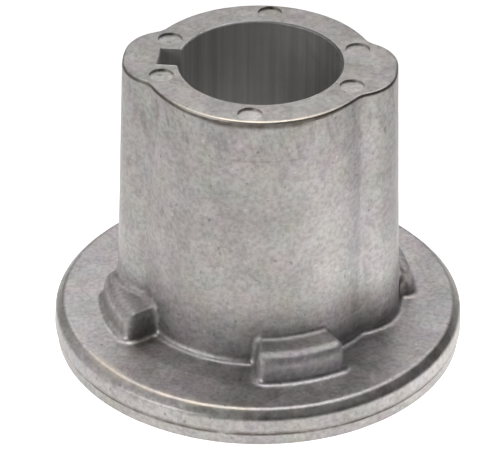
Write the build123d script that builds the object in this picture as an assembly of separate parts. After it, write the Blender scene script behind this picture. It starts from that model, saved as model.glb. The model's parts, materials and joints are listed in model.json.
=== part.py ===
from build123d import *
import os
from math import acos, asin, atan2, cos, degrees, radians, sin, tan

# A die-cast hub that slides over a keyed shaft: a drafted boss with two ears, on a round flange
# with four driving lugs. Z is the shaft axis and Z = 0 the seating face of the flange. The ears
# stand on the X axis and the keyway opens towards -X. Lengths are millimetres, angles degrees.

# Shaft bore, bevelled at its upper mouth, and keyway
BORE_DIAMETER = 25.0
BORE_BEVEL = 0.25
KEY_WIDTH = 4.8
KEY_DEPTH = 2.9
KEY_CORNER = 0.3

# Boss, with its wall and draft as they are at the top face
BOSS_LENGTH = 42.5
BOSS_WALL = 5.35
BOSS_DRAFT = 1.84

# Ears at the top face: how far they rise from the boss, and how they round off and run in
EAR_RISE = 3.1
EAR_TIP_WIDTH = 4.2
EAR_CORNER = 6.75
EAR_BLEND = 3.85

# Driving lugs at their top face: the flat shelf they leave in front of an ear, and their block
LUG_COUNT = 4
LUG_ANGLE = 22.5
LUG_SHELF = 1.08
LUG_WIDTH = 13.8
LUG_HEIGHT = 4.6
LUG_DRAFT = 6.5
LUG_CORNER = 1.5
LUG_EDGE = 0.4
LUG_BEVEL_RADIAL = 0.9
LUG_BEVEL_AXIAL = 0.8

# Flange: its rim is two drafted bands that meet in a small step at the die's parting line
FLANGE_LEDGE = 8.1
FLANGE_BEVEL = 1.3
RIM_UPPER_BAND = 2.5
RIM_LOWER_BAND = 2.2
RIM_DRAFT = 3.0
PARTING_STEP = 0.25

# Rounding of the casting's inner corners, and the break of the boss's top edge
INNER_FILLET = 1.0
EDGE_BREAK = 0.4

# Ejector pin marks sunk in the top face, on one circle
MARK_CIRCLE = 30.9
MARK_DIAMETER = 3.8
MARK_DEPTH = 0.35
MARK_EAR_ANGLE = 21.0

# Sizes that follow from the ones above
BORE_RADIUS = BORE_DIAMETER / 2
BOSS_RADIUS = BORE_RADIUS + BOSS_WALL
EAR_RADIUS = BOSS_RADIUS + EAR_RISE
EAR_RADIUS_AT_LUG = EAR_RADIUS + (BOSS_LENGTH - LUG_HEIGHT) * tan(radians(BOSS_DRAFT))
LUG_RADIUS = EAR_RADIUS_AT_LUG + LUG_SHELF + LUG_BEVEL_RADIAL
FLANGE_RADIUS = LUG_RADIUS + FLANGE_LEDGE
FLANGE_THICKNESS = RIM_LOWER_BAND + RIM_UPPER_BAND + FLANGE_BEVEL
HEIGHT = FLANGE_THICKNESS + BOSS_LENGTH


def polar(radius, angle):
    """The point of the XY plane at a radius and at an angle from +X."""
    return Vector(radius * cos(radians(angle)), radius * sin(radians(angle)))


def arc_between(centre, radius, start, end):
    """The arc about a centre from one angle to another."""
    return CenterArc(centre, radius, start, end - start)


def ear_flank(growth):
    """One side of an ear: two arcs from its tip into the boss, and the angles where they end."""
    tip_angle = degrees(asin(EAR_TIP_WIDTH / 2 / EAR_RADIUS))
    corner_reach = EAR_RADIUS - EAR_CORNER
    blend_reach = BOSS_RADIUS + EAR_BLEND
    centres_apart = EAR_CORNER + EAR_BLEND
    squares = corner_reach**2 + blend_reach**2 - centres_apart**2
    blend_angle = tip_angle + degrees(acos(squares / (2 * corner_reach * blend_reach)))
    corner_centre = polar(corner_reach, tip_angle)
    blend_centre = polar(blend_reach, blend_angle)
    across = blend_centre - corner_centre
    turn = degrees(atan2(across.Y, across.X))
    corner = arc_between(corner_centre, EAR_CORNER + growth, tip_angle, turn)
    blend = arc_between(blend_centre, EAR_BLEND - growth, turn + 180, blend_angle + 180)
    return [corner, blend], tip_angle, blend_angle


def boss_outline(growth):
    """The boss seen along its axis, with the draft's growth added all round."""
    flank, tip_angle, blend_angle = ear_flank(growth)
    tip = arc_between((0, 0), EAR_RADIUS + growth, -tip_angle, tip_angle)
    side = arc_between((0, 0), BOSS_RADIUS + growth, blend_angle, 180 - blend_angle)
    half = [tip, side, *flank, *(mirror(edge, Plane.YZ) for edge in flank)]
    return make_face([*half, *(edge.rotate(Axis.Z, 180) for edge in half)])


def boss():
    """The tapering boss with its ears, standing on the flange, its top edge broken."""
    growth = BOSS_LENGTH * tan(radians(BOSS_DRAFT))
    solid = extrude(boss_outline(growth), BOSS_LENGTH, taper=BOSS_DRAFT)
    solid = chamfer(solid.edges().group_by(Axis.Z)[-1], EDGE_BREAK)
    return Pos(0, 0, FLANGE_THICKNESS) * solid


def lug_wedge(reach, growth):
    """The sector that a lug takes up, from the bore outwards, with the draft's growth added at its ends."""
    half_angle = asin(LUG_WIDTH / 2 / LUG_RADIUS)
    inner, outer = (x * tan(half_angle) + growth / cos(half_angle) for x in (BORE_RADIUS, reach))
    corners = (BORE_RADIUS, inner), (reach, outer), (reach, -outer), (BORE_RADIUS, -inner)
    return make_face(Polyline(*corners, close=True))


def lug():
    """One driving lug on the +X side, its ends radial and drafted, its brow rounded and bevelled."""
    growth = LUG_HEIGHT * tan(radians(LUG_DRAFT))
    reach = LUG_RADIUS + growth
    outline = Circle(reach) & lug_wedge(reach, growth)
    outline = fillet(outline.vertices().group_by(Axis.X)[-1], LUG_CORNER)
    block = extrude(outline, LUG_HEIGHT, taper=LUG_DRAFT)
    brow = block.edges().group_by(Axis.Z)[-1].sort_by(Axis.X)[1:]
    block = fillet(brow, LUG_EDGE)
    drop = LUG_BEVEL_AXIAL * (LUG_BEVEL_RADIAL + growth) / LUG_BEVEL_RADIAL
    shaving = Polyline(
        (LUG_RADIUS - LUG_BEVEL_RADIAL, LUG_HEIGHT),
        (reach, LUG_HEIGHT),
        (reach, LUG_HEIGHT - drop),
        close=True,
    )
    block -= revolve(Plane.XZ * make_face(shaving), Axis.Z)
    return Pos(0, 0, FLANGE_THICKNESS) * block


def flange():
    """The round flange, its upper edge bevelled and its rim drafted to both sides."""
    slope = tan(radians(RIM_DRAFT))
    lower_radius = FLANGE_RADIUS - PARTING_STEP
    upper_radius = FLANGE_RADIUS - RIM_UPPER_BAND * slope
    section = Polyline(
        (0, 0),
        (lower_radius - RIM_LOWER_BAND * slope, 0),
        (lower_radius, RIM_LOWER_BAND),
        (FLANGE_RADIUS, RIM_LOWER_BAND),
        (upper_radius, RIM_LOWER_BAND + RIM_UPPER_BAND),
        (upper_radius - FLANGE_BEVEL, FLANGE_THICKNESS),
        (0, FLANGE_THICKNESS),
        close=True,
    )
    return revolve(Plane.XZ * make_face(section), Axis.Z)


def casting():
    """Flange, boss and lugs as one piece, with the inner corners between them rounded."""
    pieces = [flange(), boss()]
    for step in range(LUG_COUNT):
        pieces.append(Rot(0, 0, LUG_ANGLE + step * 360 / LUG_COUNT) * lug())
    body = pieces[0] + pieces[1:]
    level = body.edges().filter_by_position(Axis.Z, FLANGE_THICKNESS, FLANGE_THICKNESS)
    feet = level.sort_by(SortBy.LENGTH)[:-1]
    seams = feet + new_edges(*pieces, combined=body)
    corners = body.edges().filter_by(lambda edge: any(edge.is_same(seam) for seam in seams))
    return fillet(corners, INNER_FILLET)


def bore_and_keyway():
    """What the shaft and its key take out of the casting."""
    hole = Cylinder(BORE_RADIUS, HEIGHT, align=(Align.CENTER, Align.CENTER, Align.MIN))
    hole += Pos(0, 0, HEIGHT - BORE_BEVEL / 2) * Cone(BORE_RADIUS, BORE_RADIUS + BORE_BEVEL, BORE_BEVEL)
    reach = BORE_RADIUS + KEY_DEPTH
    slot = Pos(-reach / 2, 0) * Rectangle(reach, KEY_WIDTH)
    slot = fillet(slot.vertices().group_by(Axis.X)[0], KEY_CORNER)
    return hole + extrude(slot, HEIGHT)


def ejector_marks():
    """The pin marks in the top face, to both sides of each ear and midway between the ears."""
    mark = Cylinder(MARK_DIAMETER / 2, MARK_DEPTH, align=(Align.CENTER, Align.CENTER, Align.MAX))
    angles = [-90, 90]
    for ear in (0, 180):
        angles += [ear - MARK_EAR_ANGLE, ear + MARK_EAR_ANGLE]
    return [Rot(0, 0, angle) * Pos(MARK_CIRCLE / 2, 0, HEIGHT) * mark for angle in angles]


bushing = casting() - bore_and_keyway() - ejector_marks()

os.makedirs("parts", exist_ok=True)
export_step(bushing, "parts/flanged_bushing.step")
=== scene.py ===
import json
from math import acos, asin, atan, cos, hypot, pi, radians, sin, tan
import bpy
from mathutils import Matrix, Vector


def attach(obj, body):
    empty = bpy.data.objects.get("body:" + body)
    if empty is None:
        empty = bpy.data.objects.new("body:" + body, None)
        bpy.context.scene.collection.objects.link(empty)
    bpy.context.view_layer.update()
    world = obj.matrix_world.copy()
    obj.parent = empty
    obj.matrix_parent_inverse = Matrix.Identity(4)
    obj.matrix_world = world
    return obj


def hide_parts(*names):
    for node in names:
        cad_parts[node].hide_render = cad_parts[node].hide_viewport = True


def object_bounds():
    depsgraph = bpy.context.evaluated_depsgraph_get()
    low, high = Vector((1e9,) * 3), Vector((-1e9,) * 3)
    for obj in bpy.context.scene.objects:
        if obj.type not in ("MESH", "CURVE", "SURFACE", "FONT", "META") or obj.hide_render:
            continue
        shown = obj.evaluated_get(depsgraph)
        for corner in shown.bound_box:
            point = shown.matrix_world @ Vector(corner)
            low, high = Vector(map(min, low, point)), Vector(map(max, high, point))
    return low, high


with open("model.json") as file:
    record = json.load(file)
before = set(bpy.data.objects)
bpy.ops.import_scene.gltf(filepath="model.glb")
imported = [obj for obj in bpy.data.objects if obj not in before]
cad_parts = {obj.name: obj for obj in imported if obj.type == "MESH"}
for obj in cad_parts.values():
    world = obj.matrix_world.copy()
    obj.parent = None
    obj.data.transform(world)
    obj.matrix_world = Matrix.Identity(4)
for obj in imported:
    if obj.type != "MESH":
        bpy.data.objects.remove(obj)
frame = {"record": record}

from types import SimpleNamespace

import bmesh
import bpy
import numpy as np
from mathutils import Matrix, Vector, noise

# A die-cast flanged bushing on a white table. The casting is one closed skin of rows around the axis of
# its bore, with the ejector pin marks cut into it. The casting's own lengths are millimetres, and the
# camera, lights and table are in metres.

CAD_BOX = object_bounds()
MM = 0.001
TINY = 1e-9
WHITE = (1, 1, 1, 1)

# The photograph's frame in pixels and the camera that fits it, with its angles in degrees
IMAGE_WIDTH, IMAGE_HEIGHT = 500, 450
FOCAL_PIXELS = 3362.0
SENSOR_MM = 36.0
NEAR_CLIP = 0.01
VIEW_AZIMUTH = 5.4
VIEW_ELEVATION = 32.4
VIEW_ROLL = 0.4
VIEW_DISTANCE = 0.5233
AIM_HEIGHT = 0.02422
AIM_PIXEL = (258.75, 196.95)

# A glowing white table with softly brighter patches: place, radius, strength
TABLE_REACH = 2.0
TABLE_COLOUR = (0.5, 0.5, 0.5, 1)
TABLE_ROUGHNESS = 0.9
TABLE_GLOW = 0.51
TABLE_PATCHES = (
    ((0.0, 0.0, 0.0), 0.09, 0.72),
    ((0.005, -0.075, 0.0), 0.06, 0.25),
    ((0.085, -0.06, 0.0), 0.075, 0.75),
    ((0.05, -0.017, 0.0), 0.04, 0.75),
)

# Soft panels of light in a faintly lit room: place, target, size, watts
ROOM_GLOW = 0.05
PANELS = {
    "overhead": ((0.0, 0.4, 0.8), (0.0, 0.4, 0.0), (1.2, 1.1), 5.4),
    "back": ((0.0, 1.0, 0.55), (0.0, 0.0, 0.05), (1.6, 1.0), 2.6),
    "left": ((-1.0, 0.0, 0.45), (0.0, 0.0, 0.05), (1.2, 0.8), 2.4),
    "front_left": ((-0.9, -0.9, 0.5), (0.0, 0.0, 0.02), (0.8, 0.6), 5.2),
    "top": ((0.0, 0.05, 0.9), (0.0, 0.05, 0.0), (0.7, 0.6), 2.95),
}

# Sizes of the casting; the outer ones and the bore come from the frame
MOUNTS = {mount["name"]: mount for mount in frame["record"]["mounts"]}
HEIGHT = CAD_BOX[1][2] / MM
FLANGE_RADIUS = CAD_BOX[1][0] / MM
BORE_RADIUS = MOUNTS["shaft_bore"]["dims"]["r_mm"]
BORE_BEVEL = 0.25
KEY_HALF_WIDTH, KEY_FLOOR = 2.4, BORE_RADIUS + 2.9
BOSS_RADIUS, BOSS_DRAFT = BORE_RADIUS + 5.35, radians(1.84)
EAR_RADIUS, EAR_TIP_WIDTH, EAR_CORNER, EAR_BLEND = BOSS_RADIUS + 3.1, 4.2, 6.75, 3.85
FLANGE_TOP, FLANGE_BEVEL = 6.0, 1.3
PARTING_HEIGHT, PARTING_STEP, RIM_DRAFT = 2.2, 0.25, radians(3)
LUG_COUNT, LUG_ANGLE, LUG_RADIUS, LUG_WIDTH, LUG_TOP = 4, 22.5, 24.15, 13.8, FLANGE_TOP + 4.6
LUG_DRAFT, LUG_CORNER, LUG_BEVEL = radians(6.5), 1.5, (0.9, 0.8)
LUG_HALF_ANGLE = asin(LUG_WIDTH / 2 / LUG_RADIUS)
MARK_CIRCLE, MARK_RADIUS, MARK_DEPTH, MARK_EAR_ANGLE = 15.45, 1.9, 0.35, 21.0
PIN_LENGTH, PIN_SIDES = 2.0, 72

# The ear's flank at the top face: the centres of its two arcs, and the angles where they end
TIP_ANGLE = asin(EAR_TIP_WIDTH / 2 / EAR_RADIUS)
CORNER_REACH, BLEND_REACH = EAR_RADIUS - EAR_CORNER, BOSS_RADIUS + EAR_BLEND
CENTRES_APART = EAR_CORNER + EAR_BLEND
BLEND_ANGLE = TIP_ANGLE + acos(
    (CORNER_REACH**2 + BLEND_REACH**2 - CENTRES_APART**2) / (2 * CORNER_REACH * BLEND_REACH)
)
CORNER_CENTRE = (CORNER_REACH * cos(TIP_ANGLE), CORNER_REACH * sin(TIP_ANGLE))
BLEND_CENTRE = (BLEND_REACH * cos(BLEND_ANGLE), BLEND_REACH * sin(BLEND_ANGLE))

# Rounding of the cast edges, and a faint line that runs round the boss at a height
FILLET, BROW = 1.0, 0.65
TOP_EDGE, STEP_EDGE, STEP_CORNER, BOTTOM_EDGE = 0.42, 0.12, 0.084, 0.1
BEVEL_EDGES = (1.1, 1.2)
RING_LINE = 41.8

# Rows of the mesh, and the radius and height between which a fan of rays lays rows over the foot
BORE_ROWS, TOP_ROWS, EDGE_ROWS, UPPER_ROWS, BOSS_ROWS = 20, 25, 6, 11, 38
RIM_ROWS = (1, 2, 4, 1, 8, 4)
LARGE_ARC, LARGE_ARC_ROWS, SMALL_ARC_ROWS = 0.5, 5, 3
UNDER_EDGE = np.array([0.12, 0.25, 0.4])
ABOUT_LINE = np.array([0.3, 0.15, 0, -0.15, -0.3])
BORE_END, TIGHT = 0.2, 0.04
FAN_RADIUS, FAN_HEIGHT = 30.0, 16.0
FAN_KNOTS = (0, 20, 30, 37, 40.5, 46, 49.5, 57.5, 68, 90)
FAN_CELLS = (7, 8, 7, 5, 4, 5, 5, 9, 8)

# Columns of the mesh: the angle from a lug's middle that they reach and their count, those between lugs,
# and the stretch of the bore where they are drawn to the keyway's corners
LUG_COLUMNS, FINE_COLUMNS, GAP_COLUMNS = (13.8, 14), (21.6, 22), 48
KEY_SPREAD = (radians(150), radians(210))

# Searches for a surface: how far in and out of the boss they begin and how often they halve the gap,
# and the steps along a ray, each a share of the distance that is left
SEARCH_IN, SEARCH_OUT, HALVINGS = 1.0, 3.0, 40
RAY_STEPS, RAY_SHARE = 90, 0.9

# Relief of the cast skin: height and length of its waves, coarse to fine, each part's share of them, and
# the waver of the parting line with the height over which it fades out
CAST_WAVES = ((0.03, 8.0), (0.016, 2.4), (0.009, 0.9))
CAST_SHARE = {"top": 0.4, "top edge": 0.7, "boss": 1, "foot": 1, "flange": 1}
PARTING_WAVES, PARTING_REACH = ((0.1, 9.0), (0.05, 2.0)), 0.8

# Edges that turn by more than this are shaded sharp
SHARP_ANGLE = radians(50)

# Parts of the skin are told apart by place, with some room for its waves
SLACK, NEAR = 0.01, 0.1
FOOT_RISE = (FAN_HEIGHT, FAN_HEIGHT - 6)

# Marks on the skin. A band has a centre, a full width and a fade, in degrees round the axis, in height
# or in depth below the top. A patchy mark has a share, and how far the patches change it.
PATCH_WAVES = ((0.6, 3.0), (0.4, 0.8))
STREAK_WAVES, STREAK_STRETCH, STREAK_GAIN = ((1, 1.0),), (1, 1, 0.4), 3
FRONT = (-86, 20, 30)
# Painted highlights: a cream line on the top edge at the front and on the flange's bevel at the left front
HIGHLIT_EDGE, HIGHLIT_EDGE_PATCHY = (0.06, 0.03, 0.18), (0.75, 0.7)
HIGHLIT_BEVEL, HIGHLIT_BEVEL_PATCHY = (FLANGE_TOP - 0.15, 0.1, 0.2), (0.5, 1.0)
HIGHLIT_BEVEL_SIDE = (-118, 18, 22)
# Painted shade: a dark line under the top edge, deeper and wider at the front, which away from the front
# darkens the edge's rounding
EDGE_SHADE, EDGE_SHADE_PATCHY = (0.3, 0.14, 0.14), (0.85, 0.5)
FRONT_DEEPER, FRONT_WIDER = 0.3, 0.08
# Painted shade along the parting step, in the crease under it
PARTING_SHADE, PARTING_PATCHY = (PARTING_HEIGHT - 0.14, 0.2, 0.14), (0.9, 1.0)
LINE_STAIN, LINE_SIDE, LINE_STRENGTH = (RING_LINE, 0.04, 0.16), (-82, 14, 14), 0.22
# Painted shade at the foot of the left lug's front end, over its fillet's highlight
LUG_END_SHADE_PLACE, LUG_END_SHADE_RADIUS, LUG_END_SHADE_HEIGHT = (-16.0, -14.6, 6.0), 2.3, (FLANGE_TOP, 1.2, 1.5)
LUG_END_SHADE_PATCHY, LUG_END_SHADE_STRENGTH = (0.8, 1.0), 0.7
RUST_PLACE, RUST_RADIUS, RUST_STRENGTH = (22.3, 1.8, 8.6), 2.4, 0.9
SCUFF_RISE = (RING_LINE - 3, RING_LINE + 1)
DULL_RISE, DULL_LEAST = (FLANGE_TOP, FLANGE_TOP + 3), 0.2
# A bluish tint painted into the shade over the foot and into a highlight on the boss's right side: painted
# light
COOL_HIGHLIGHT_SIDE = (-31, 4, 5)

# How much paler the skin is painted in places, with minus for darker: painted light and shade, and paler
# rust
# Painted light on the bore, paler on its left and darker on its right, and painted shade in the keyway
BORE_LIGHT_TONES, KEY_SHADE_TONE = ((-1, 0, 1), (0.8, 0, -0.2)), -0.35
# Painted shade on the bore's bevel, growing towards the back, over its highlight
MOUTH_SHADE_TONE, MOUTH_RISE = -0.5, (-0.6 * BORE_RADIUS, 0.4 * BORE_RADIUS)
# Painted light on the marks' floors, most at the front, and on the top face, paler at the front and darker
# at the left; the rust is paler
MARK_LIGHT_TONE, TOP_LIGHT_TONE, RUST_TONE = 0.2, 0.06, 0.6
# Painted light and shade round the boss by angle
BOSS_LIGHT_TONES = (-180, -140, -85, -60, -35, -10, 180), (0, -0.04, 0.03, 0, -0.06, -0.05, 0)
# A painted highlight low on the boss's right front
BOSS_HIGHLIGHT_TONE, BOSS_HIGHLIGHT_SIDE, BOSS_HIGHLIGHT_HEIGHT = 0.09, (-54, 7, 12), (15, 4, 4)
# Painted light on the flange's top beyond the lugs, more on the left
LEVEL_LIGHT_TONE, LEVEL_LIGHT_TILT = 0.12, -0.08
# Painted light on the lug tops, more towards the right
LUG_LIGHT_TONE, LUG_FACE, LUG_LIGHT_RISE = 0.15, (LUG_TOP, 0.1, 0.3), (-10, 5)

# The aluminium: its patterns (scale per metre, detail, roughness), the spans of them over which each
# change comes in, its colours and its roughness
GRAIN, MOTTLE, BROAD, TINTS = (1350, 3, 0.6), (420, 3, 0.6), (130, 2, 0.5), (200, 2, 0.5)
STREAKS, SCUFFS, SPECKLES = (900, 3, 0.6), (620, 3, 0.65), (1300, 0, 0.5)
DRAWN, SCRAPED, SCRAPE_SLANT = (1, 1, 0.03), (1, 1, 0.16), 0.3
MOTTLE_SPAN, GRAIN_SPAN, BROAD_SPAN = (0.3, 0.7), (0.4, 0.66), (0.4, 0.62)
PIT_SPAN, SPECK_SPAN, SCUFF_SPAN, STREAK_SPAN = (0.77, 0.84), (0.26, 0.18), (0.5, 0.66), (0.35, 0.65)
GREYS = (0.378, 0.359, 0.347, 1), (0.475, 0.453, 0.438, 1)
BORE_GREYS = (0.36, 0.35, 0.343, 1), (0.45, 0.44, 0.43, 1)
GRAIN_SHADE, BROAD_SHADE = (0.76, 0.757, 0.752, 1), (0.9, 0.895, 0.9, 1)
PIT_SHADE, SPECK_SHADE = (0.66, 0.64, 0.62, 1), (1.2, 1.2, 1.19, 1)
# The bluish colour below is painted light, a tint for the shade over the foot and a highlight on the boss
SCUFF_SHADE, COOL_LIGHT_COLOUR = (0.79, 0.78, 0.77, 1), (0.985, 0.985, 1.02, 1)
# The cream colour is a painted highlight on edges, and the dark colour is for rust, a dark line and
# painted shade
HIGHLIGHT_COLOUR, STAIN_AND_SHADE_COLOUR = (0.62, 0.55, 0.46, 1), (0.09, 0.075, 0.06, 1)
TINT_SHARE = 0.08
ROUGHNESS, DULLING = (0.37, 0.47), 0.15
BUMP_STRENGTH, BUMP_DEPTH = 0.3, 0.00006

# The Mix node's sockets for two colours and their share, and the one for its result, by number
MIX_INPUTS, MIX_RESULT = (6, 7, 0), 2


def add_camera():
    """The camera at the photograph's angle, with the aim at the photograph's pixel for it."""
    a, e = radians(VIEW_AZIMUTH), radians(VIEW_ELEVATION)
    back = Vector((sin(a) * cos(e), -cos(a) * cos(e), sin(e)))
    right = Vector((cos(a), sin(a), 0.0))
    up = back.cross(right)
    centre = Vector((0, 0, AIM_HEIGHT))
    position = centre + VIEW_DISTANCE * back
    per_pixel = VIEW_DISTANCE / FOCAL_PIXELS
    aim = centre - right * (AIM_PIXEL[0] - IMAGE_WIDTH / 2) * per_pixel
    aim -= up * (IMAGE_HEIGHT / 2 - AIM_PIXEL[1]) * per_pixel
    back = (position - aim).normalized()
    right = Vector((0, 0, 1)).cross(back).normalized()
    up = back.cross(right)
    turn = Matrix((right, up, back)).transposed().to_4x4() @ Matrix.Rotation(radians(VIEW_ROLL), 4, "Z")
    data = bpy.data.cameras.new("camera")
    data.sensor_width = SENSOR_MM
    data.lens = FOCAL_PIXELS * SENSOR_MM / IMAGE_WIDTH
    data.clip_start = NEAR_CLIP
    camera = bpy.data.objects.new("camera", data)
    camera.matrix_world = Matrix.Translation(position) @ turn
    bpy.context.collection.objects.link(camera)
    bpy.context.scene.camera = camera


def add_floor():
    """The table that the casting stands on."""
    mesh = bpy.data.meshes.new("floor")
    corners = [(x * TABLE_REACH, y * TABLE_REACH, 0) for x, y in ((-1, -1), (1, -1), (1, 1), (-1, 1))]
    mesh.from_pydata(corners, [], [(0, 1, 2, 3)])
    mesh.materials.append(white_table())
    floor = bpy.data.objects.new("floor", mesh)
    bpy.context.collection.objects.link(floor)


def add_light(name, place, target, size, power):
    """One panel of light, turned to its target."""
    data = bpy.data.lights.new(name, "AREA")
    data.shape = "RECTANGLE"
    data.size, data.size_y = size
    data.energy = power
    light = bpy.data.objects.new(name, data)
    light.location = place
    light.rotation_euler = (Vector(target) - Vector(place)).to_track_quat("-Z", "Y").to_euler()
    bpy.context.collection.objects.link(light)


def add_world():
    """The faint light of the room."""
    world = bpy.data.worlds.new("studio")
    bpy.context.scene.world = world
    world.use_nodes = True
    background = world.node_tree.nodes["Background"]
    background.inputs["Color"].default_value = WHITE
    background.inputs["Strength"].default_value = ROOM_GLOW


class Material:
    """A material with its nodes, and short ways to make the nodes that are needed here."""

    def __init__(self, name):
        self.data = bpy.data.materials.new(name)
        self.data.use_nodes = True
        self.tree = self.data.node_tree
        self.shader = self.tree.nodes["Principled BSDF"].inputs
        self.place = self.node("TexCoord").outputs["Object"]

    def feed(self, socket, value):
        """Links another node's output to a socket, or sets the socket to a plain value."""
        if isinstance(value, bpy.types.NodeSocket):
            self.tree.links.new(value, socket)
        else:
            socket.default_value = value

    def node(self, kind, **settings):
        """A node with its inputs, or else its own properties, set by name."""
        node = self.tree.nodes.new("ShaderNode" + kind)
        for name, value in settings.items():
            socket = name.replace("_", " ").title()
            if socket in node.inputs:
                self.feed(node.inputs[socket], value)
            else:
                setattr(node, name, value)
        return node

    def join(self, kind, operation, first, second):
        """The outputs of a node that makes a sum, product or distance of two values."""
        node = self.node(kind, operation=operation)
        self.feed(node.inputs[0], first)
        self.feed(node.inputs[1], second)
        return node.outputs

    def pattern(self, scale, detail, roughness, place=None):
        """A noise over the object: its values and its colours."""
        place = place or self.place
        node = self.node("TexNoise", scale=scale, detail=detail, roughness=roughness, vector=place)
        return node.outputs["Fac"], node.outputs["Color"]

    def ramp(self, value, low, high, start=0.0, end=1.0, kind="LINEAR"):
        """A value that runs from a start to an end while another runs from low to high."""
        node = self.node("MapRange", from_min=low, from_max=high, to_min=start, to_max=end, value=value)
        node.interpolation_type = kind
        return node.outputs["Result"]

    def blend(self, mode, first, second, share):
        """Two colours blended by a share of the second."""
        node = self.node("Mix", data_type="RGBA", blend_type=mode)
        for index, value in zip(MIX_INPUTS, (first, second, share)):
            self.feed(node.inputs[index], value)
        return node.outputs[MIX_RESULT]

    def mark(self, name):
        """A value that the mesh holds for each of its points."""
        return self.node("Attribute", attribute_name=name).outputs["Fac"]


def white_table():
    """A white table that glows evenly, with its softly brighter patches."""
    table = Material("floor_white")
    table.shader["Base Color"].default_value = TABLE_COLOUR
    table.shader["Roughness"].default_value = TABLE_ROUGHNESS
    table.shader["Emission Color"].default_value = WHITE
    glow = TABLE_GLOW
    for centre, radius, strength in TABLE_PATCHES:
        away = table.join("VectorMath", "DISTANCE", table.place, centre)["Value"]
        patch = table.ramp(away, 0.0, radius, strength, 0.0, "SMOOTHSTEP")
        glow = table.join("Math", "ADD", glow, patch)[0]
    table.feed(table.shader["Emission Strength"], glow)
    return table.data


def cast_grey(metal, grain, mottle):
    """The colour of the cast skin: a mottled grey with a grain, faint tints, pits and pale specks."""
    _, tints = metal.pattern(*TINTS)
    broad, _ = metal.pattern(*BROAD)
    speckle, _ = metal.pattern(*SPECKLES)
    colour = metal.blend("MIX", *GREYS, metal.ramp(mottle, *MOTTLE_SPAN))
    colour = metal.blend("MULTIPLY", colour, GRAIN_SHADE, metal.ramp(grain, *GRAIN_SPAN))
    colour = metal.blend("MULTIPLY", colour, BROAD_SHADE, metal.ramp(broad, *BROAD_SPAN))
    colour = metal.blend("OVERLAY", colour, tints, TINT_SHARE)
    colour = metal.blend("MULTIPLY", colour, PIT_SHADE, metal.ramp(speckle, *PIT_SPAN))
    return metal.blend("MULTIPLY", colour, SPECK_SHADE, metal.ramp(speckle, *SPECK_SPAN))


def scuffed_grey(metal, colour):
    """The skin's colour with slanting scuffs where it is scuffed."""
    slanted = metal.node("VectorRotate", rotation_type="Y_AXIS", angle=SCRAPE_SLANT, vector=metal.place)
    scraped = metal.join("VectorMath", "MULTIPLY", slanted.outputs["Vector"], SCRAPED)["Vector"]
    scuff, _ = metal.pattern(*SCUFFS, scraped)
    scuff = metal.ramp(scuff, *SCUFF_SPAN)
    share = metal.join("Math", "MULTIPLY", metal.mark("scuffed"), scuff)[0]
    return metal.blend("MULTIPLY", colour, SCUFF_SHADE, share)


def bored_grey(metal):
    """The colour of the bore, with draw marks along it."""
    drawn = metal.join("VectorMath", "MULTIPLY", metal.place, DRAWN)["Vector"]
    streak, _ = metal.pattern(*STREAKS, drawn)
    return metal.blend("MIX", *BORE_GREYS, metal.ramp(streak, *STREAK_SPAN))


def cast_aluminium():
    """As-cast aluminium with a drawn bore, rust and a dark ring line, and painted light: highlights on
    edges, shade under edges and a bluish tint.
    """
    metal = Material("cast_aluminium")
    metal.shader["Metallic"].default_value = 1.0
    grain, _ = metal.pattern(*GRAIN)
    mottle, _ = metal.pattern(*MOTTLE)

    colour = scuffed_grey(metal, cast_grey(metal, grain, mottle))
    # A bluish tint painted into the shade over the foot and into a highlight on the boss's right side
    colour = metal.blend("MULTIPLY", colour, COOL_LIGHT_COLOUR, metal.mark("cool_light_tint"))
    colour = metal.blend("MIX", colour, bored_grey(metal), metal.mark("bore"))
    # Painted light and shade, and paler rust, multiplied into the colour
    colour = metal.blend("MULTIPLY", colour, metal.mark("light_and_rust_tone"), 1.0)
    # Painted highlights on the edges
    colour = metal.blend("MIX", colour, HIGHLIGHT_COLOUR, metal.mark("edge_highlight"))
    # Rust and a dark ring line, with painted shade under the edges and at a lug's end
    colour = metal.blend("MIX", colour, STAIN_AND_SHADE_COLOUR, metal.mark("stain_and_shade"))
    metal.feed(metal.shader["Base Color"], colour)

    dulled = metal.ramp(metal.mark("dulled"), 0.0, 1.0, 0.0, DULLING)
    roughness = metal.join("Math", "ADD", metal.ramp(mottle, *MOTTLE_SPAN, *ROUGHNESS), dulled)[0]
    metal.feed(metal.shader["Roughness"], roughness)

    height = metal.join("Math", "ADD", grain, mottle)[0]
    bump = metal.node("Bump", strength=BUMP_STRENGTH, distance=BUMP_DEPTH, height=height)
    metal.feed(metal.shader["Normal"], bump.outputs["Normal"])
    return metal.data


def outline_distance(x, y):
    """How far points lie outside the boss's outline at the top face, ears included."""
    x, y = np.abs(x), np.abs(y)
    radius, angle = np.hypot(x, y), np.arctan2(y, x)
    corner = np.hypot(x - CORNER_CENTRE[0], y - CORNER_CENTRE[1]) - EAR_CORNER
    blend = EAR_BLEND - np.hypot(x - BLEND_CENTRE[0], y - BLEND_CENTRE[1])
    along = (BLEND_CENTRE[0] - CORNER_CENTRE[0], BLEND_CENTRE[1] - CORNER_CENTRE[1])
    past = along[0] * (y - CORNER_CENTRE[1]) - along[1] * (x - CORNER_CENTRE[0])
    flank = np.where(past < 0, corner, blend)
    flank = np.where(angle > BLEND_ANGLE, radius - BOSS_RADIUS, flank)
    return np.where(angle < TIP_ANGLE, radius - EAR_RADIUS, flank)


def rounded_meet(a, b, radius):
    """The part inside both surfaces, with the edge between them rounded."""
    rounding = np.hypot(np.maximum(a + radius, 0), np.maximum(b + radius, 0))
    return np.minimum(np.maximum(a, b), -radius) + rounding


def filleted_join(a, b, radius):
    """The part inside either surface, with the corner between them filled to a fillet."""
    filling = np.hypot(np.maximum(radius - a, 0), np.maximum(radius - b, 0))
    return np.maximum(np.minimum(a, b), radius) - filling


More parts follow.
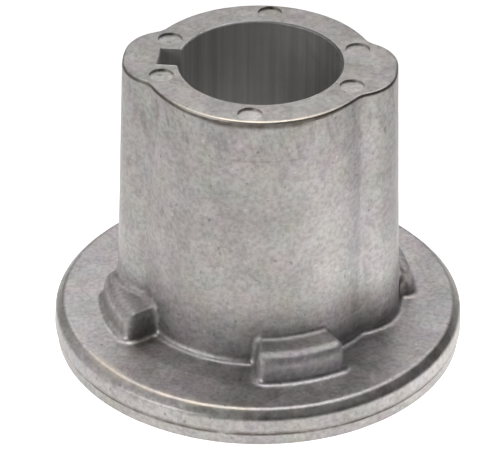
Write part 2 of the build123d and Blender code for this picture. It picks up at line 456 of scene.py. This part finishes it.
def lug_distance(x, y, z):
    """How far points lie outside the nearest driving lug."""
    radius = np.hypot(x, y)
    pitch = 2 * pi / LUG_COUNT
    turn = np.mod(np.arctan2(y, x) - radians(LUG_ANGLE) + pitch / 2, pitch) - pitch / 2
    depth = (LUG_TOP - z) * tan(LUG_DRAFT)
    wall = (radius - LUG_RADIUS - depth) * cos(LUG_DRAFT)
    side = (radius * np.sin(np.abs(turn) - LUG_HALF_ANGLE) - depth) * cos(LUG_DRAFT)
    across, down = LUG_BEVEL
    bevel = ((radius - LUG_RADIUS + across) * down + (z - LUG_TOP) * across) / hypot(across, down)
    block = rounded_meet(wall, side, LUG_CORNER)
    block = rounded_meet(block, bevel, BROW)
    return rounded_meet(block, z - LUG_TOP, BROW)


def foot_distance(points):
    """How far points lie outside the foot of the casting: boss, lugs and the top of the flange."""
    x, y, z = points.T
    growth = (HEIGHT - z) * tan(BOSS_DRAFT)
    boss = (outline_distance(x, y) - growth) * cos(BOSS_DRAFT)
    joined = filleted_join(boss, lug_distance(x, y, z), FILLET)
    return filleted_join(joined, z - FLANGE_TOP, FILLET)


def outline_radius(angle, growth):
    """The boss's outline as a radius for each angle, with the draft's growth added all round."""
    low = np.full_like(angle, BOSS_RADIUS - SEARCH_IN)
    high = np.full_like(angle, EAR_RADIUS + SEARCH_OUT)
    for _ in range(HALVINGS):
        middle = (low + high) / 2
        outside = outline_distance(middle * np.cos(angle), middle * np.sin(angle)) > growth
        low, high = np.where(outside, low, middle), np.where(outside, middle, high)
    return middle


def column_angles():
    """The angles of the mesh columns: even along a lug, closer at its ends and even between lugs."""
    pitch = 360 / LUG_COUNT
    coarse = np.linspace(0, LUG_COLUMNS[0], LUG_COLUMNS[1] + 1)
    fine = np.linspace(LUG_COLUMNS[0], FINE_COLUMNS[0], FINE_COLUMNS[1] + 1)[1:]
    half = np.concatenate([coarse, fine])
    gap = np.linspace(half[-1], pitch - half[-1], GAP_COLUMNS)[1:-1]
    lug = np.concatenate([-half[:0:-1], half, gap])
    return np.radians(np.concatenate([lug + LUG_ANGLE + pitch * step for step in range(LUG_COUNT)]))


def key_angles():
    """How far round from the keyway's middle its mouth and the corners of its floor lie."""
    return asin(KEY_HALF_WIDTH / BORE_RADIUS), atan(KEY_HALF_WIDTH / KEY_FLOOR)


def bore_angles(angles):
    """The columns' angles on the bore, drawn aside so that some run along the keyway's corners."""
    mouth, floor = key_angles()
    targets = [pi - mouth, pi - floor, pi + floor, pi + mouth]
    sources = [angles[np.argmin(np.abs(angles - target))] for target in targets]
    start, end = KEY_SPREAD
    beyond = 3 * pi
    return np.interp(angles, [0, start, *sources, end, beyond], [0, start, *targets, end, beyond])


def bore_outline(angle):
    """The bore with its keyway as a radius for each angle."""
    turn = np.abs(angle - pi)
    mouth, floor = key_angles()
    side = KEY_HALF_WIDTH / np.sin(np.clip(turn, floor, mouth))
    radius = np.where(turn < mouth - TINY, side, BORE_RADIUS)
    return np.where(turn <= floor + TINY, KEY_FLOOR / np.cos(np.minimum(turn, floor)), radius)


def rounded_line(corners, steps):
    """Points along a line of (r, z, radius) corners, which are rounded, with the runs divided evenly."""
    points = []
    for index in range(1, len(corners) - 1):
        here = Vector(corners[index][:2])
        before = (Vector(corners[index - 1][:2]) - here).normalized()
        after = (Vector(corners[index + 1][:2]) - here).normalized()
        half = before.angle(after) / 2
        radius = corners[index][2]
        centre = here + (before + after).normalized() * radius / sin(half)
        arm = here + before * radius / tan(half) - centre
        sweep = (pi - 2 * half) * (1 if before.cross(after) < 0 else -1)
        arcs = LARGE_ARC_ROWS if radius > LARGE_ARC else SMALL_ARC_ROWS
        arc = [centre + Matrix.Rotation(sweep * k / arcs, 2) @ arm for k in range(arcs + 1)]
        start = points[-1] if points else Vector(corners[0][:2])
        run = steps[index - 1]
        points += [start.lerp(arc[0], k / run) for k in range(1, run)] + arc
    end = Vector(corners[-1][:2])
    return points + [points[-1].lerp(end, k / steps[-1]) for k in range(1, steps[-1])]


def ring(radius, angle, height):
    """One row of the mesh from its radii, angles and heights."""
    height = np.broadcast_to(height, angle.shape)
    return np.stack([radius * np.cos(angle), radius * np.sin(angle), height], axis=1)


def top_rows(angles, inner_angles):
    """Rows up the bore and over the top face to its rounded outer edge."""
    bore = bore_outline(inner_angles)
    heights = np.linspace(BORE_END, HEIGHT - BORE_BEVEL - TIGHT, BORE_ROWS)
    rows = [(ring(bore, inner_angles, z), "bore") for z in heights]
    inner = ring(bore, inner_angles, HEIGHT)
    outer = ring(outline_radius(angles, TOP_EDGE * tan(BOSS_DRAFT)), angles, HEIGHT)
    across = outer - inner
    across /= np.linalg.norm(across, axis=1)[:, None]
    up = np.array([0, 0, 1.0])
    for share in (0, 0.5, 1):
        rows.append((inner + BORE_BEVEL * (across * share + up * (share - 1)), "bore edge"))
    start, end = inner + (BORE_BEVEL + TIGHT) * across, outer - TOP_EDGE * across
    rows += [(start + (end - start) * k / TOP_ROWS, "top") for k in range(TOP_ROWS)]
    for a in np.linspace(pi / 2, 0, EDGE_ROWS):
        rows.append((outer + TOP_EDGE * (across * (cos(a) - 1) + up * (sin(a) - 1)), "top edge"))
    return rows


def boss_rows(angles):
    """Rows down the boss, close together under its top edge and at the ring line."""
    below = HEIGHT - TOP_EDGE - UNDER_EDGE
    line = RING_LINE + ABOUT_LINE
    upper = np.linspace(below[-1], line[0], UPPER_ROWS)[1:-1]
    lower = np.linspace(line[-1], FAN_HEIGHT, BOSS_ROWS)[1:-1]
    heights = np.concatenate([below, upper, line, lower])
    growths = (HEIGHT - heights) * tan(BOSS_DRAFT)
    return [(ring(outline_radius(angles, g), angles, z), "boss") for g, z in zip(growths, heights)]


def fan_rows(angles):
    """Rows over the foot: rays in each column's upright plane run in to the surface."""
    start = ring(FAN_RADIUS, angles, FAN_HEIGHT)
    inward = ring(-1.0, angles, 0.0)
    spans = zip(FAN_KNOTS, FAN_KNOTS[1:], FAN_CELLS)
    slopes = [a + (b - a) * k / cells for a, b, cells in spans for k in range(cells)] + [FAN_KNOTS[-1]]
    rows = []
    for slope in np.radians(slopes):
        ray = inward * cos(slope) - np.array([0, 0, sin(slope)])
        travel = np.zeros(len(start))
        for _ in range(RAY_STEPS):
            travel += RAY_SHARE * foot_distance(start + ray * travel[:, None])
        rows.append((start + ray * travel[:, None], "foot"))
    return rows


def flange_rows(angles, inner_angles):
    """Rows over the flange's bevel and rim and along the underside to the bore."""
    slope = tan(RIM_DRAFT)
    bevel_foot = FLANGE_TOP - FLANGE_BEVEL
    upper = FLANGE_RADIUS - (bevel_foot - PARTING_HEIGHT) * slope
    lower = FLANGE_RADIUS - PARTING_STEP
    section = [
        (FAN_RADIUS, FLANGE_TOP, 0),
        (upper - FLANGE_BEVEL, FLANGE_TOP, BEVEL_EDGES[0]),
        (upper, bevel_foot, BEVEL_EDGES[1]),
        (FLANGE_RADIUS, PARTING_HEIGHT, STEP_EDGE),
        (lower, PARTING_HEIGHT, STEP_CORNER),
        (lower - PARTING_HEIGHT * slope, 0, BOTTOM_EDGE),
        (BORE_RADIUS, 0, 0),
    ]
    rows = []
    for radius, z in rounded_line(section, RIM_ROWS):
        rows.append((ring(radius, angles, z), "flange" if z > SLACK else "underside"))
    rows.append((ring(bore_outline(inner_angles) + BORE_END, inner_angles, 0.0), "underside"))
    return rows


def waves(points, heights_and_lengths):
    """A sum of smooth noises over points, one for each height and length."""
    total = np.zeros(len(points))
    for height, length in heights_and_lengths:
        total += height * np.array([noise.noise(point) for point in (points / length).tolist()])
    return total


def roughen(points, kinds):
    """Gives the skin its cast waves, and the parting line a little waver."""
    along, across = (np.roll(points, -1, axis) - np.roll(points, 1, axis) for axis in (0, 1))
    normals = np.cross(along, across)
    normals /= np.maximum(np.linalg.norm(normals, axis=2), TINY)[..., None]
    share = np.array([CAST_SHARE.get(kind, 0) for kind in kinds])
    height = waves(points.reshape(-1, 3), CAST_WAVES).reshape(points.shape[:2])
    moved = points + normals * (height * share[:, None])[..., None]
    near = np.clip(1 - np.abs(points[..., 2] - PARTING_HEIGHT) / PARTING_REACH, 0, 1)
    near *= np.array([kind == "flange" for kind in kinds])[:, None]
    rim = points.reshape(-1, 3) * (1, 1, 0)
    moved[..., 2] += near * waves(rim, PARTING_WAVES).reshape(near.shape)
    return moved


def casting_mesh():
    """The closed skin of the casting, before the marks are cut."""
    angles = column_angles()
    inner_angles = bore_angles(angles)
    rows = top_rows(angles, inner_angles) + boss_rows(angles)
    rows += fan_rows(angles) + flange_rows(angles, inner_angles)
    points = roughen(np.stack([row for row, _ in rows]), [kind for _, kind in rows])
    count, around = points.shape[:2]
    corner = np.arange(count)[:, None] * around + np.arange(around)[None, :]
    next_row, next_column = np.roll(corner, -1, axis=0), np.roll(corner, -1, axis=1)
    both = np.roll(next_row, -1, axis=1)
    faces = np.stack([corner, next_row, both, next_column], axis=2).reshape(-1, 4)
    mesh = bpy.data.meshes.new("casting")
    mesh.from_pydata((points.reshape(-1, 3) * MM).tolist(), [], faces.tolist())
    return mesh


def pins_mesh():
    """The pins that sink the marks: to both sides of each ear and midway between the ears."""
    angles = [-90, 90]
    for ear in (0, 180):
        angles += [ear - MARK_EAR_ANGLE, ear + MARK_EAR_ANGLE]
    pins = bmesh.new()
    for angle in np.radians(angles):
        middle = HEIGHT - MARK_DEPTH + PIN_LENGTH / 2
        place = Vector((MARK_CIRCLE * cos(angle), MARK_CIRCLE * sin(angle), middle)) * MM
        bmesh.ops.create_cone(
            pins,
            cap_ends=True,
            segments=PIN_SIDES,
            radius1=MARK_RADIUS * MM,
            radius2=MARK_RADIUS * MM,
            depth=PIN_LENGTH * MM,
            matrix=Matrix.Translation(place),
        )
    mesh = bpy.data.meshes.new("pins")
    pins.to_mesh(mesh)
    pins.free()
    return mesh


def cut_marks(casting):
    """Sinks the ejector pin marks into the top face."""
    mesh = pins_mesh()
    cutter = bpy.data.objects.new("pins", mesh)
    bpy.context.collection.objects.link(cutter)
    cut = casting.modifiers.new("marks", "BOOLEAN")
    cut.operation = "DIFFERENCE"
    cut.solver = "EXACT"
    cut.object = cutter
    graph = bpy.context.evaluated_depsgraph_get()
    casting.data = bpy.data.meshes.new_from_object(casting.evaluated_get(graph))
    casting.modifiers.clear()
    bpy.data.objects.remove(cutter)
    bpy.data.meshes.remove(mesh)


def band(values, centre, full, fade):
    """One within a width of a centre value, fading to nothing over a further width."""
    return np.clip(1 + (full - np.abs(values - centre)) / fade, 0, 1)


def rise(values, start, end):
    """Nothing before a start value, rising to one at an end value."""
    return np.clip((values - start) / (end - start), 0, 1)


def spot(points, place, radius):
    """One at a place, fading to nothing around it."""
    return np.exp(-((np.linalg.norm(points - place, axis=1) / radius) ** 2))


def skin_zones(points):
    """The mesh points with their places and the parts of the skin that they belong to."""
    x, y, z = points.T
    radius, depth, outside = np.hypot(x, y), HEIGHT - z, outline_distance(x, y)
    rim = BORE_BEVEL + SLACK
    slot = (x < 0) & (x > -KEY_FLOOR - rim) & (np.abs(y) < KEY_HALF_WIDTH + rim)
    bore = (slot | (radius < BORE_RADIUS + rim)) & (z > SLACK)
    upper, inside = z > FAN_HEIGHT, outside < -TOP_EDGE - NEAR
    return SimpleNamespace(
        points=points,
        x=x,
        y=y,
        z=z,
        depth=depth,
        azimuth=np.degrees(np.arctan2(y, x)),
        patches=waves(points, PATCH_WAVES),
        rust=spot(points, RUST_PLACE, RUST_RADIUS),
        bore=bore,
        slot=slot & bore,
        boss=upper & ~inside,
        top=depth < NEAR,
        marked=upper & inside & (depth > 2 * NEAR) & ~bore,
        lugs=(radius > BOSS_RADIUS) & ~upper,
        level=(radius > LUG_RADIUS) & (z > FLANGE_TOP - 2 * NEAR),
        flange=(radius > FAN_RADIUS - NEAR) & (z > SLACK),
        foot=rise(z, *FOOT_RISE) * (z > FLANGE_TOP - 2 * NEAR) * ~bore,
    )


def patchy(skin, share, change):
    """A share that the patches of the skin change, from nothing to one."""
    return np.clip(share + change * skin.patches, 0, 1)


def highlit_edges(skin):
    """Painted highlights on edges: the top edge at the front and the flange's bevel beside it."""
    edge = skin.boss * band(skin.depth, *HIGHLIT_EDGE) * band(skin.azimuth, *FRONT)
    bevel = skin.flange * band(skin.z, *HIGHLIT_BEVEL) * band(skin.azimuth, *HIGHLIT_BEVEL_SIDE)
    return edge * patchy(skin, *HIGHLIT_EDGE_PATCHY) + bevel * patchy(skin, *HIGHLIT_BEVEL_PATCHY)


def stains_and_shade(skin):
    """Dark marks: painted shade under the top edge and along the parting step, a dark line on the ring
    line, painted shade at one lug's end and rust streaks by another.
    """
    front = band(skin.azimuth, *FRONT)
    # Painted shade under the top edge
    depth, width, fade = EDGE_SHADE
    edge = band(skin.depth, depth + FRONT_DEEPER * front, width + FRONT_WIDER * front, fade)
    # Painted shade along the parting step
    parting = skin.flange * band(skin.z, *PARTING_SHADE)
    line = skin.boss * band(skin.z, *LINE_STAIN) * band(skin.azimuth, *LINE_SIDE)
    # Painted shade at the foot of one lug's end
    lug_end_shade = spot(skin.points, LUG_END_SHADE_PLACE, LUG_END_SHADE_RADIUS) * band(skin.z, *LUG_END_SHADE_HEIGHT)
    streaks = np.clip(STREAK_GAIN * waves(skin.points * STREAK_STRETCH, STREAK_WAVES), 0, 1)
    total = skin.boss * edge * patchy(skin, *EDGE_SHADE_PATCHY)
    total += parting * patchy(skin, *PARTING_PATCHY)
    total += LINE_STRENGTH * line
    total += LUG_END_SHADE_STRENGTH * lug_end_shade * patchy(skin, *LUG_END_SHADE_PATCHY)
    return total + RUST_STRENGTH * skin.rust * streaks


def light_and_rust_tones(skin):
    """How pale the skin is painted: painted light and shade on the bore, its bevel, the keyway, the top
    face and its marks, the boss, flange and lugs, and paler rust.
    """
    x, y = skin.x / BOSS_RADIUS, skin.y / BOSS_RADIUS
    mouth = skin.bore * (skin.depth < BORE_BEVEL / 2 + NEAR)
    # Painted light on the bore by side, and painted shade in the keyway
    light_and_rust_tone = 1 + skin.bore * np.interp(skin.x / BORE_RADIUS, *BORE_LIGHT_TONES) + KEY_SHADE_TONE * skin.slot
    # Painted shade on the bore's bevel towards the back
    light_and_rust_tone += MOUTH_SHADE_TONE * mouth * rise(skin.y, *MOUTH_RISE)
    # Painted light on the marks' floors and the top face
    light_and_rust_tone += MARK_LIGHT_TONE * skin.marked * (1 - y)
    light_and_rust_tone += TOP_LIGHT_TONE * skin.top * (np.minimum(x, 0) - np.minimum(y, 0))
    # Painted light and shade round the boss by angle
    light_and_rust_tone += skin.boss * np.interp(skin.azimuth, *BOSS_LIGHT_TONES)
    # A painted highlight low on the boss's right front
    light_and_rust_tone += BOSS_HIGHLIGHT_TONE * band(skin.azimuth, *BOSS_HIGHLIGHT_SIDE) * band(skin.z, *BOSS_HIGHLIGHT_HEIGHT)
    # Painted light on the flange's top, more on the left
    light_and_rust_tone += skin.level * (LEVEL_LIGHT_TONE + LEVEL_LIGHT_TILT * skin.x / FLANGE_RADIUS)
    # Painted light on the lug tops, more towards the right
    light_and_rust_tone += LUG_LIGHT_TONE * skin.lugs * band(skin.z, *LUG_FACE) * rise(skin.x, *LUG_LIGHT_RISE)
    return light_and_rust_tone + RUST_TONE * skin.rust


def skin_marks(points):
    """What the material reads from the mesh, as a value for each of its points."""
    skin = skin_zones(points)
    return {
        "bore": skin.bore,
        "edge_highlight": highlit_edges(skin),
        "stain_and_shade": stains_and_shade(skin),
        "scuffed": skin.boss * rise(skin.z, *SCUFF_RISE),
        "light_and_rust_tone": light_and_rust_tones(skin),
        "cool_light_tint": np.maximum(skin.foot, skin.boss * band(skin.azimuth, *COOL_HIGHLIGHT_SIDE)),
        "dulled": np.maximum(skin.foot * np.maximum(rise(skin.z, *DULL_RISE), DULL_LEAST), skin.bore),
    }


def add_casting():
    """The casting, which stands for the CAD node and keeps its form."""
    mesh = casting_mesh()
    mesh.materials.append(cast_aluminium())
    casting = bpy.data.objects.new("casting", mesh)
    bpy.context.collection.objects.link(casting)
    cut_marks(casting)
    points = np.empty(3 * len(casting.data.vertices))
    casting.data.vertices.foreach_get("co", points)
    for name, values in skin_marks(points.reshape(-1, 3) / MM).items():
        attribute = casting.data.attributes.new(name, "FLOAT", "POINT")
        attribute.data.foreach_set("value", values.astype(np.float32))
    casting.data.shade_smooth()
    casting.data.set_sharp_from_angle(angle=SHARP_ANGLE)
    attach(casting, "root")
    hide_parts("flanged_bushing")


add_camera()
add_floor()
add_world()
for name, panel in PANELS.items():
    add_light(name, *panel)
bpy.context.scene.view_settings.view_transform = "Standard"
add_casting()
